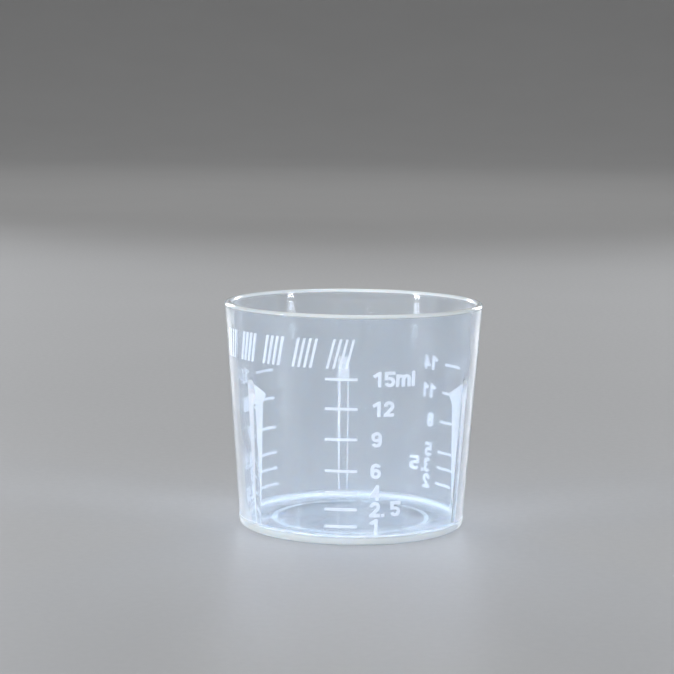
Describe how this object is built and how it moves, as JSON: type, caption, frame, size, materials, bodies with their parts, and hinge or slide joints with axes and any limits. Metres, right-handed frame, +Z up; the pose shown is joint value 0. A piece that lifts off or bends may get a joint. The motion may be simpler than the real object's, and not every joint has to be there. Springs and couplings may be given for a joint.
{
  "type": "graduated measuring cup",
  "caption": "Small tapered measuring cup of translucent plastic, with a rounded rim, raised millilitre scales, inner stacking ribs and a recessed foot.",
  "frame": {"origin": "centre of the underside, on the surface that the cup stands on", "axes": "+Z up along the cup's axis, the front scale faces -Y, +X to the right of the front scale"},
  "size_m": [0.0348, 0.0348, 0.0302],
  "materials": {
    "cup_plastic": "translucent natural polypropylene, satin gloss, cool blue-white haze",
    "rib_plastic": "translucent natural polypropylene, brighter at its edges",
    "mark_plastic": "raised moulded marks, frosted white"
  },
  "bodies": {
    "root": {"cup_wall": "cup_plastic", "rim_lip": "cup_plastic", "floor_disc": "cup_plastic", "foot_ring": "cup_plastic", "gate_mark": "cup_plastic", "stacking_rib_back": "rib_plastic", "stacking_rib_left": "rib_plastic", "stacking_rib_right": "rib_plastic", "front_scale_lines": "mark_plastic", "left_scale_lines": "mark_plastic", "right_scale_lines": "mark_plastic", "front_scale_numerals": "mark_plastic", "left_scale_numerals": "mark_plastic", "right_scale_numerals": "mark_plastic", "unit_mark": "mark_plastic", "upper_mark_row": "mark_plastic"}
  },
  "joints": []
}
